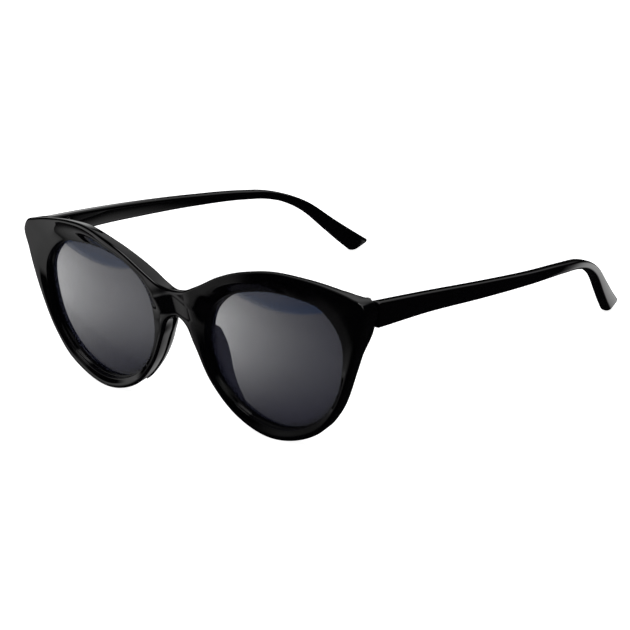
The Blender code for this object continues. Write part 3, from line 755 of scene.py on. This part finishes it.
def smoke_glass_with_painted_light(name, tint_and_painted_light_terms):
    """Smoke glass with painted light and shade over it, and a painted dark reflection under the brow
    that follows its edge.
    """
    paint = Paint(name, IOR=POLYMER_IOR, Specular_IOR_Level=0.5)
    x, _, z = paint.place()
    across = paint.math("MULTIPLY", x, 1 / (TINT_WIDE * MM))
    high = paint.math("MULTIPLY", z, 1 / (TINT_TALL * MM))
    bent = paint.math("MULTIPLY", across, across)
    tint_and_painted_light, *shares, painted_reflection_share = tint_and_painted_light_terms
    # across, bow, up and dome add painted light and shade to the glass's own darkness
    for share, term in zip(shares, (across, bent, high, paint.math("MULTIPLY", high, high))):
        tint_and_painted_light = paint.math("ADD", tint_and_painted_light, paint.math("MULTIPLY", term, share))
    painted_reflection = painted_brow_reflection(paint, bent, high)
    # the painted dark reflection under the brow lets less light through
    tint_and_painted_light = paint.math("ADD", tint_and_painted_light, paint.math("MULTIPLY", painted_reflection, painted_reflection_share))
    streak = paint.noise(STREAK_SCALE, detail=3.0, stretch=STREAK_STRETCH)
    streak = paint.spread(streak, STREAK_SPAN, *STREAK_CLEAR)
    clear = paint.math("MULTIPLY", paint.math("EXPONENT", tint_and_painted_light), streak)
    paint.drive("Alpha", paint.math("SUBTRACT", 1.0, paint.math("SQRT", clear)))
    # the painted dark reflection under the brow also turns the glass bluish
    paint.drive("Base Color", paint.blend(painted_reflection, GLASS_COLOUR, PAINTED_REFLECTION_COLOUR))
    smear = paint.noise(SMEAR_SCALE, detail=3.0)
    paint.drive("Roughness", paint.spread(smear, SMEAR_SPAN, *SMEAR_ROUGH))
    return paint.material


def steel(name, tone, rough):
    """Fine brushed metal with a few duller stains."""

    def shade(shares):
        return (*[tone * share for share in shares], 1)

    paint = Paint(name, Metallic=1.0)
    grain = paint.noise(GRAIN_SCALE, detail=4.0, stretch=GRAIN_STRETCH)
    stain = paint.noise(STAIN_SCALE, detail=3.0)
    stain = paint.spread(stain, STAIN_SPAN, 0.0, STAIN_MOST)
    base = paint.blend(grain, shade(GRAIN_DARK), shade(GRAIN_LIGHT))
    paint.drive("Base Color", paint.blend(stain, base, shade(STAIN_TONE)))
    paint.drive("Roughness", paint.spread(grain, GRAIN_SPAN, rough, rough + GRAIN_ROUGH))
    brushed = {"Height": grain, "Strength": GRAIN_STRENGTH, "Distance": GRAIN_HEIGHT}
    paint.drive("Normal", paint.add("Bump", brushed))
    return paint.material


def dress(made, material, body, slot, *nodes):
    """Gives a piece its material, puts it in its body and hides the CAD nodes it stands for."""
    made.data.materials.clear()
    made.data.materials.append(material)
    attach(made, body)
    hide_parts(*nodes)


def build():
    plastic = black_plastic()
    dress(front(), plastic, "front", "black_plastic", "front_frame")
    for name, side in SIDES:
        # each lens's material paints light, shade and a dark reflection over the smoke glass
        glass = smoke_glass_with_painted_light("smoke_glass_with_painted_light_" + name, TINTS_AND_PAINTED_LIGHT[name])
        dress(lens(name, side), glass, "front", "smoke_lens", "lens_" + name)
        dress(nose_pad(name, side), plastic, "front", "black_plastic", "nose_pad_" + name)
        arm = temple(name, side)
        dress(arm, plastic, "temple_" + name, "black_plastic", "temple_" + name)
    for part, look in METALS.items():
        material = steel(*look)
        for name, _ in SIDES:
            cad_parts[f"{part}_{name}"].material_slots[0].material = material


# Studio

def lobe(nodes, way, azimuth, elevation, wide, tall, edge, level):
    """A soft patch of light in one direction, with half sizes in degrees."""
    a = math.radians(azimuth)
    e = math.radians(elevation)
    ahead = Vector((math.sin(a) * math.cos(e), -math.cos(a) * math.cos(e), math.sin(e)))
    right = Vector((math.cos(a), math.sin(a), 0.0))
    up = right.cross(ahead)
    if up.z < 0:
        up = -up
    u = nodes.dot(way, right / math.sin(math.radians(wide)))
    v = nodes.dot(way, up / math.sin(math.radians(tall)))
    far = nodes.math("ADD", nodes.math("POWER", u, LOBE_POWER),
                     nodes.math("POWER", v, LOBE_POWER))
    far = nodes.math("POWER", far, 1 / LOBE_POWER)
    patch = nodes.spread(far, (1 - edge, 1 + edge), level, 0.0)
    facing = nodes.math("GREATER_THAN", nodes.dot(way, ahead))
    return nodes.math("MULTIPLY", patch, facing)


def studio_world():
    """A dim room with soft lobes of light, which looks white to the camera."""
    world = bpy.data.worlds.new("studio")
    bpy.context.scene.world = world
    world.use_nodes = True
    nodes = Nodes(world.node_tree)
    nodes.tree.nodes.clear()
    way = nodes.add("TexCoord", {}, out=0)
    total = WORLD_LEVEL
    for values in LOBES:
        total = nodes.math("ADD", total, lobe(nodes, way, *values))
    light = nodes.add("Background", {"Color": (1, 1, 1, 1), "Strength": total})
    backdrop = nodes.add("Background", {"Color": (1, 1, 1, 1), "Strength": 1.0})
    seen = nodes.add("LightPath", {}, out=0)
    mixed = nodes.add("MixShader", {0: seen, 1: light, 2: backdrop})
    out = nodes.tree.nodes.new("ShaderNodeOutputWorld")
    nodes.feed(out.inputs["Surface"], mixed)


def floor():
    """A pale floor that casts light, but isn't seen in reflections."""
    shape = bmesh.new()
    bmesh.ops.create_circle(shape, cap_ends=True, segments=FLOOR_SIDES, radius=FLOOR_RADIUS)
    mesh = bpy.data.meshes.new("floor")
    shape.to_mesh(mesh)
    shape.free()
    made = bpy.data.objects.new("floor", mesh)
    bpy.context.scene.collection.objects.link(made)
    made.visible_glossy = False
    paint = Paint("pale_floor", Base_Color=(0.8, 0.8, 0.8, 1), Roughness=0.8,
                  Specular_IOR_Level=0.1, Emission_Color=(1, 1, 1, 1),
                  Emission_Strength=FLOOR_GLOW)
    mesh.materials.append(paint.material)


def card(name, centre, size, aim, glow):
    """A sheet that only reflections see, facing aim; glow(paint, x, y) gives its brightness."""
    shape = bmesh.new()
    bmesh.ops.create_grid(shape, x_segments=1, y_segments=1, size=0.5)
    mesh = bpy.data.meshes.new(name)
    shape.to_mesh(mesh)
    shape.free()
    made = bpy.data.objects.new(name, mesh)
    made.location = centre
    made.rotation_euler = (Vector(aim) - Vector(centre)).to_track_quat("Z", "Y").to_euler()
    made.scale = (*size, 1.0)
    bpy.context.scene.collection.objects.link(made)
    for kind in ("camera", "diffuse", "transmission", "volume_scatter", "shadow"):
        setattr(made, "visible_" + kind, False)
    paint = Paint(name, Base_Color=(0, 0, 0, 1), Specular_IOR_Level=0.0,
                  Emission_Color=(1, 1, 1, 1))
    x, y, _ = paint.place()
    paint.drive("Emission Strength", glow(paint, x, y))
    mesh.materials.append(paint.material)


def soft_panel(name, centre, size, level, soft):
    """A glowing sheet with soft edges that faces the front."""

    def glow(paint, *places):
        total = level
        for off, wide in zip(places, size):
            span = (0.5 - soft / wide, 0.5)
            fade = paint.spread(paint.math("ABSOLUTE", off), span, 1.0, 0.0)
            total = paint.math("MULTIPLY", total, fade)
        return total

    card(name, centre, size, PANEL_AIM, glow)


def flag():
    """A dark card before the bridge that keeps the left panel off the right half of the front."""

    def glow(paint, along, up):
        near, close = [
            paint.spread(along, (start, stop), 0.0, level) for start, stop, level in FLAG_GLOW
        ]
        total = paint.math("ADD", near, close)
        total = paint.math("MULTIPLY", total, paint.spread(up, FLAG_RISE))
        behind = paint.add("NewGeometry", {}, out=6)
        return paint.math("MULTIPLY", total, paint.math("SUBTRACT", 1.0, behind))

    middle = FLAG_START - FLAG_LONG / 2
    card("flag", (FLAG_X, middle, 0.0), (FLAG_LONG, FLAG_TALL), (1.0, middle, 0.0), glow)


def key_light():
    """A large lamp above the front, aimed at the origin and not seen in reflections."""
    data = bpy.data.lights.new("key", "AREA")
    data.energy = KEY_POWER
    data.shape = "DISK"
    data.size = KEY_SIZE
    made = bpy.data.objects.new("key", data)
    made.location = KEY_AT
    made.rotation_euler = (-Vector(KEY_AT)).to_track_quat("-Z", "Y").to_euler()
    made.visible_glossy = False
    bpy.context.scene.collection.objects.link(made)


def camera():
    """A long lens at the wearer's front left, a little above."""
    data = bpy.data.cameras.new("camera")
    data.sensor_width = CAMERA_SENSOR
    data.lens = CAMERA_LENS
    data.clip_start = CAMERA_NEAR
    made = bpy.data.objects.new("camera", data)
    made.location = CAMERA_AT
    made.rotation_euler = [math.radians(turn) for turn in CAMERA_TURN]
    bpy.context.scene.collection.objects.link(made)
    bpy.context.scene.camera = made


def studio():
    bpy.context.scene.view_settings.view_transform = "Standard"
    floor()
    camera()
    key_light()
    for name, values in PANELS.items():
        soft_panel(name, *values)
    flag()
    studio_world()


build()
studio()
